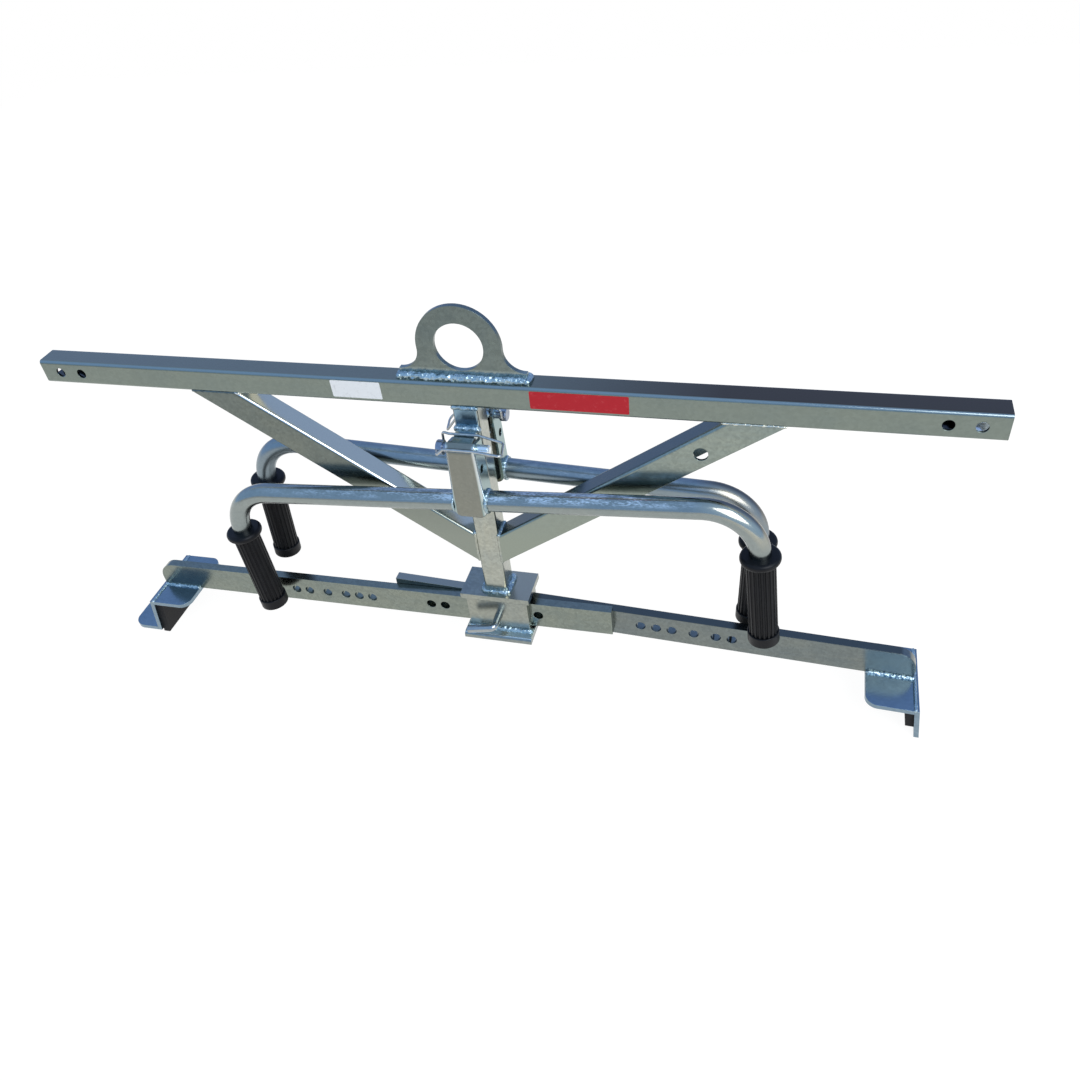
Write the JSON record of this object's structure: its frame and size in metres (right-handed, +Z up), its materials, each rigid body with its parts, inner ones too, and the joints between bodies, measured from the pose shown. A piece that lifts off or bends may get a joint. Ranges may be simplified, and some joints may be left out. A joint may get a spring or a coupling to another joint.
{
  "type": "kerb lifter",
  "caption": "Lifting frame for kerbs: braced beam with a lifting eye, sliding claw arms in a saddle and pinned carrying handles with rubber grips.",
  "frame": {"origin": "middle of the lifting eye's hole", "axes": "+X along the beam to the claw without a lip, +Y from the front handle to the rear one, +Z up"},
  "size_m": [1.1271, 0.12, 0.5287],
  "materials": {
    "zinc_steel": "bright zinc plate",
    "pin_steel": "dull zinc plate",
    "wire_steel": "bright drawn wire",
    "grip_rubber": "ribbed black rubber",
    "pad_rubber": "plain black rubber"
  },
  "bodies": {
    "frame": {"top_beam": "zinc_steel", "lifting_eye": "zinc_steel", "mast": "zinc_steel", "brace_left": "zinc_steel", "brace_right": "zinc_steel", "saddle_top": "zinc_steel", "saddle_front": "zinc_steel", "saddle_rear": "zinc_steel", "saddle_bottom": "zinc_steel", "front_stub": "zinc_steel", "rear_stub": "zinc_steel"},
    "left_arm": {"arm_left": "zinc_steel", "foot_left": "zinc_steel", "end_plate_left": "zinc_steel", "lip_left": "zinc_steel", "pad_left": "pad_rubber"},
    "right_arm": {"arm_right": "zinc_steel", "foot_right": "zinc_steel", "end_plate_right": "zinc_steel", "pad_right": "pad_rubber"},
    "lock_pin": {"arm_lock_pin": "pin_steel"},
    "front_handle": {"front_bracket": "zinc_steel", "front_tube_left": "zinc_steel", "front_tube_right": "zinc_steel", "front_grip_left": "grip_rubber", "front_grip_right": "grip_rubber"},
    "rear_handle": {"rear_bracket": "zinc_steel", "rear_tube_left": "zinc_steel", "rear_tube_right": "zinc_steel", "rear_grip_left": "grip_rubber", "rear_grip_right": "grip_rubber"},
    "front_handle_pin": {"front_pin": "pin_steel"},
    "rear_handle_pin": {"rear_pin": "pin_steel"},
    "front_pin_bow": {"front_bow": "wire_steel"},
    "rear_pin_bow": {"rear_bow": "wire_steel"}
  },
  "joints": [
    {"name": "left_arm_slide", "type": "slide", "parent": "frame", "child": "left_arm", "axis": [-0.9999, 0, -0.0122], "range_m": [-0.301, 0.052]},
    {"name": "right_arm_slide", "type": "slide", "parent": "frame", "child": "right_arm", "axis": [0.9988, 0, -0.0488], "range_m": [-0.301, 0.052]},
    {"name": "lock_pin_push", "type": "slide", "parent": "frame", "child": "lock_pin", "axis": [0, 1, 0], "range_m": [0, 0.0155]},
    {"name": "front_handle_swing", "type": "hinge", "parent": "frame", "child": "front_handle", "pos_m": [0, -0.0363, -0.1072], "axis": [-1, 0, 0], "range_deg": [-1, 35]},
    {"name": "rear_handle_swing", "type": "hinge", "parent": "frame", "child": "rear_handle", "pos_m": [0, 0.0363, -0.1072], "axis": [1, 0, 0], "range_deg": [-1, 35]},
    {"name": "front_pin_slide", "type": "slide", "parent": "frame", "child": "front_handle_pin", "axis": [1, 0, 0], "range_m": [-0.003, 0.005]},
    {"name": "rear_pin_slide", "type": "slide", "parent": "frame", "child": "rear_handle_pin", "axis": [-1, 0, 0], "range_m": [-0.003, 0.005]},
    {"name": "front_bow_open", "type": "hinge", "parent": "front_handle_pin", "child": "front_pin_bow", "pos_m": [-0.0267, -0.0363, -0.1072], "axis": [0, -1, 0], "range_deg": [0, 110]},
    {"name": "rear_bow_open", "type": "hinge", "parent": "rear_handle_pin", "child": "rear_pin_bow", "pos_m": [0.0267, 0.0363, -0.1072], "axis": [0, 1, 0], "range_deg": [0, 110]}
  ]
}
